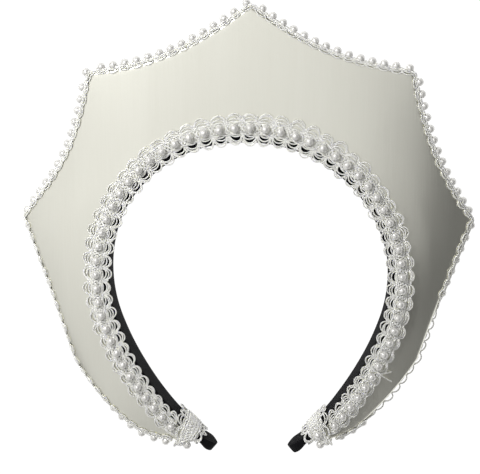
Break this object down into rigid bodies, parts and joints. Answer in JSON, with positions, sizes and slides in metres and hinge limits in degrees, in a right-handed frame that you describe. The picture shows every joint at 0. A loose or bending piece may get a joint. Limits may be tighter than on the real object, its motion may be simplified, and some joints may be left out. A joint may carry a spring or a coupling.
{
  "type": "french hood",
  "caption": "Stiff crescent headpiece of ivory satin with pointed outline, on a black cloth headband, edged inside and out with pearl gimp braid",
  "frame": {"origin": "on the ground under the middle of the hood's bounding box", "axes": "+X to the right and +Y to the crest as the plate's face is looked at, +Z the way that face looks"},
  "size_m": [0.1966, 0.2044, 0.0285],
  "materials": {
    "black_cloth": "matt woven cloth",
    "ivory_satin": "satin with a soft sheen",
    "pearl_braid": "twisted cord set with round pearls"
  },
  "bodies": {
    "root": {"headband": "black_cloth", "front_plate": "ivory_satin", "inner_pearl_braid": "pearl_braid", "rim_pearl_braid": "pearl_braid", "left_end_wrap": "pearl_braid", "right_end_wrap": "pearl_braid"}
  },
  "joints": []
}
